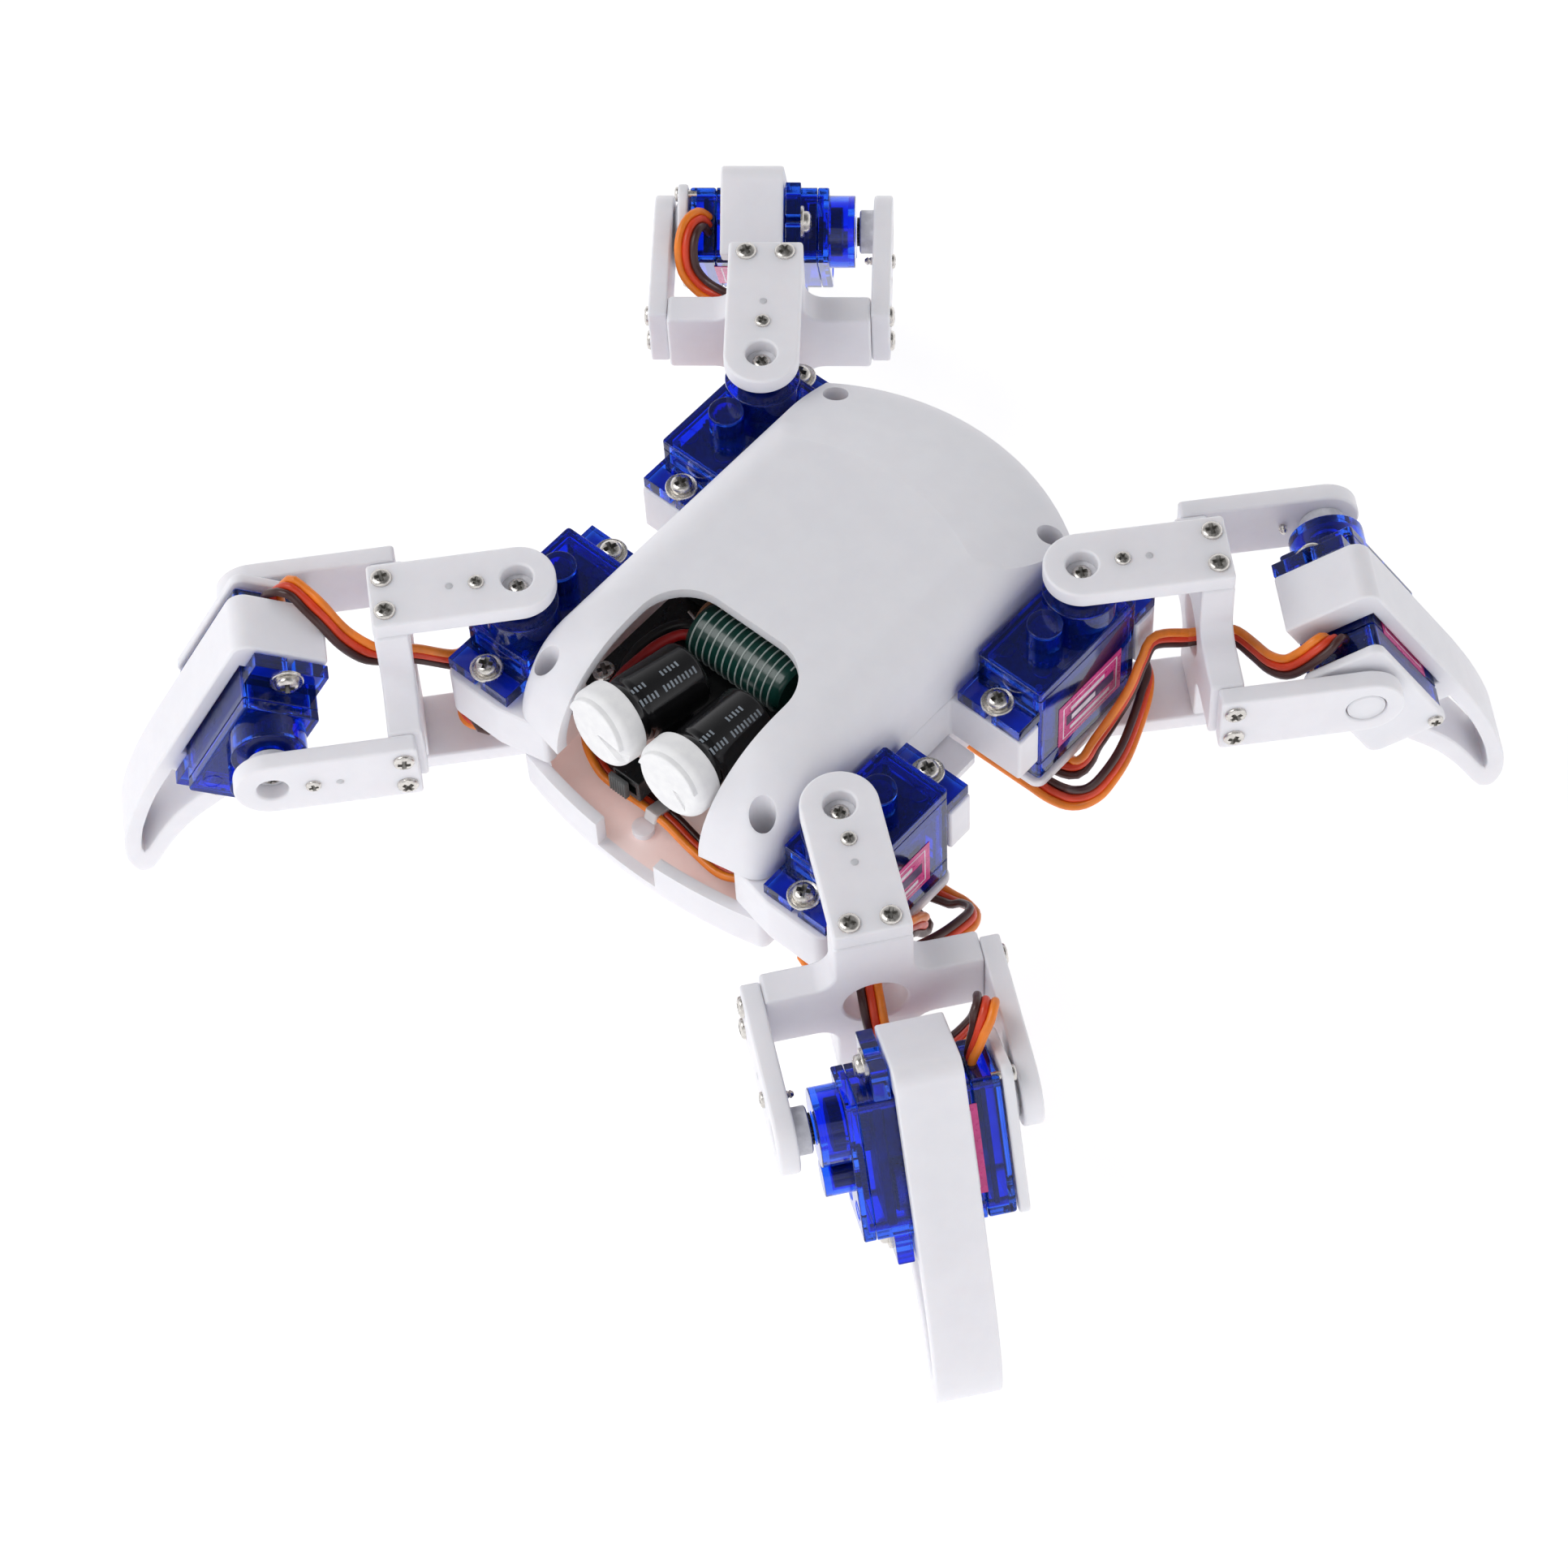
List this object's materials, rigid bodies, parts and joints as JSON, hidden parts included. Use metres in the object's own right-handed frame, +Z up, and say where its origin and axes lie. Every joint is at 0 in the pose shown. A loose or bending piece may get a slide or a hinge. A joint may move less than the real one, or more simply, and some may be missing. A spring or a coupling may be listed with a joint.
{
  "type": "quadruped walking robot",
  "caption": "Small four-legged walking robot: a white printed body with a hip and a knee micro servo in each leg, curved claw feet and wired leads.",
  "frame": {"origin": "on the floor under the middle of the overall box, at rest", "axes": "+X to the robot's left, +Y to its rear, +Z up; it walks towards -Y"},
  "size_m": [0.1714, 0.1598, 0.0617],
  "materials": {
    "white_printed_plastic": "smooth white printed plastic, cool in tone",
    "blue_servo_plastic": "dark blue translucent moulded plastic",
    "black_circuit_board": "black solder mask",
    "battery_sleeve": "silver-grey wrapped foil pack",
    "black_capacitor_sleeve": "glossy black sleeve",
    "green_coil_wrap": "dark green with pale rings",
    "black_plastic": "satin black moulding",
    "grey_plastic": "grey ribbed moulding",
    "lead_insulation": "soft insulation in orange, red and brown"
  },
  "bodies": {
    "chassis": {"battery_pack": "battery_sleeve", "bottom_tray": "white_printed_plastic", "capacitor_left": "black_capacitor_sleeve", "capacitor_right": "black_capacitor_sleeve", "choke_coil": "green_coil_wrap", "controller_board": "black_circuit_board", "eye_cap_left": "white_printed_plastic", "eye_cap_right": "white_printed_plastic", "front_harness": "lead_insulation", "hip_holder_front_left": "white_printed_plastic", "hip_holder_front_right": "white_printed_plastic", "hip_holder_rear_left": "white_printed_plastic", "hip_holder_rear_right": "white_printed_plastic", "hip_lead_front_left": "lead_insulation", "hip_lead_front_right": "lead_insulation", "hip_lead_rear_left": "lead_insulation", "hip_servo_front_left": "blue_servo_plastic", "hip_servo_front_right": "blue_servo_plastic", "hip_servo_rear_left": "blue_servo_plastic", "hip_servo_rear_right": "blue_servo_plastic", "mid_frame": "white_printed_plastic", "power_switch_body": "black_plastic", "top_shell": "white_printed_plastic"},
    "upper_leg_front_right": {"cross_block_front_right": "white_printed_plastic", "hip_horn_plate_front_right": "white_printed_plastic", "hip_pivot_plate_front_right": "white_printed_plastic", "knee_horn_plate_front_right": "white_printed_plastic", "knee_pivot_plate_front_right": "white_printed_plastic", "knee_lead_front_right": "lead_insulation"},
    "lower_leg_front_right": {"shin_front_right": "white_printed_plastic", "knee_servo_front_right": "blue_servo_plastic", "knee_holder_front_right": "white_printed_plastic"},
    "upper_leg_front_left": {"cross_block_front_left": "white_printed_plastic", "hip_horn_plate_front_left": "white_printed_plastic", "hip_pivot_plate_front_left": "white_printed_plastic", "knee_horn_plate_front_left": "white_printed_plastic", "knee_pivot_plate_front_left": "white_printed_plastic", "knee_lead_front_left": "lead_insulation"},
    "lower_leg_front_left": {"shin_front_left": "white_printed_plastic", "knee_servo_front_left": "blue_servo_plastic", "knee_holder_front_left": "white_printed_plastic"},
    "upper_leg_rear_left": {"cross_block_rear_left": "white_printed_plastic", "hip_horn_plate_rear_left": "white_printed_plastic", "hip_pivot_plate_rear_left": "white_printed_plastic", "knee_horn_plate_rear_left": "white_printed_plastic", "knee_pivot_plate_rear_left": "white_printed_plastic", "knee_lead_rear_left": "lead_insulation"},
    "lower_leg_rear_left": {"shin_rear_left": "white_printed_plastic", "knee_servo_rear_left": "blue_servo_plastic", "knee_holder_rear_left": "white_printed_plastic"},
    "upper_leg_rear_right": {"cross_block_rear_right": "white_printed_plastic", "hip_horn_plate_rear_right": "white_printed_plastic", "hip_pivot_plate_rear_right": "white_printed_plastic", "knee_horn_plate_rear_right": "white_printed_plastic", "knee_pivot_plate_rear_right": "white_printed_plastic", "knee_lead_rear_right": "lead_insulation"},
    "lower_leg_rear_right": {"shin_rear_right": "white_printed_plastic", "knee_servo_rear_right": "blue_servo_plastic", "knee_holder_rear_right": "white_printed_plastic"},
    "switch_slider": {"power_switch_slider": "grey_plastic"}
  },
  "joints": [
    {"name": "hip_yaw_front_right", "type": "hinge", "parent": "chassis", "child": "upper_leg_front_right", "pos_m": [-0.03558, -0.02822, 0.0473], "axis": [0, 0, 1], "range_deg": [-48.9, 41.1], "deforming": ["knee_lead_front_right"]},
    {"name": "knee_lift_front_right", "type": "hinge", "parent": "upper_leg_front_right", "child": "lower_leg_front_right", "pos_m": [-0.06201, -0.05851, 0.0426], "axis": [-0.7536, 0.6574, 0], "range_deg": [-54.5, 65.5], "deforming": ["knee_lead_front_right"]},
    {"name": "hip_yaw_front_left", "type": "hinge", "parent": "chassis", "child": "upper_leg_front_left", "pos_m": [0.02729, -0.02822, 0.0473], "axis": [0, 0, 1], "range_deg": [-53.1, 36.9], "deforming": ["knee_lead_front_left"]},
    {"name": "knee_lift_front_left", "type": "hinge", "parent": "upper_leg_front_left", "child": "lower_leg_front_left", "pos_m": [0.05944, -0.05235, 0.0426], "axis": [-0.6004, -0.7997, 0], "range_deg": [-54.5, 65.5], "deforming": ["knee_lead_front_left"]},
    {"name": "hip_yaw_rear_left", "type": "hinge", "parent": "chassis", "child": "upper_leg_rear_left", "pos_m": [0.02729, 0.02676, 0.0473], "axis": [0, 0, 1], "range_deg": [-48.2, 41.8], "deforming": ["knee_lead_rear_left"]},
    {"name": "knee_lift_rear_left", "type": "hinge", "parent": "upper_leg_rear_left", "child": "lower_leg_rear_left", "pos_m": [0.05409, 0.05673, 0.0426], "axis": [0.7455, -0.6665, 0], "range_deg": [-54.5, 65.5], "deforming": ["knee_lead_rear_left"]},
    {"name": "hip_yaw_rear_right", "type": "hinge", "parent": "chassis", "child": "upper_leg_rear_right", "pos_m": [-0.03558, 0.02676, 0.0473], "axis": [0, 0, 1], "range_deg": [-39.1, 50.9], "deforming": ["knee_lead_rear_right"]},
    {"name": "knee_lift_rear_right", "type": "hinge", "parent": "upper_leg_rear_right", "child": "lower_leg_rear_right", "pos_m": [-0.06094, 0.05796, 0.0426], "axis": [0.776, 0.6307, 0], "range_deg": [-54.5, 65.5], "deforming": ["knee_lead_rear_right"]},
    {"name": "power_switch_slide", "type": "slide", "parent": "chassis", "child": "switch_slider", "axis": [1, 0, 0], "range_m": [0, 0.0017]}
  ]
}
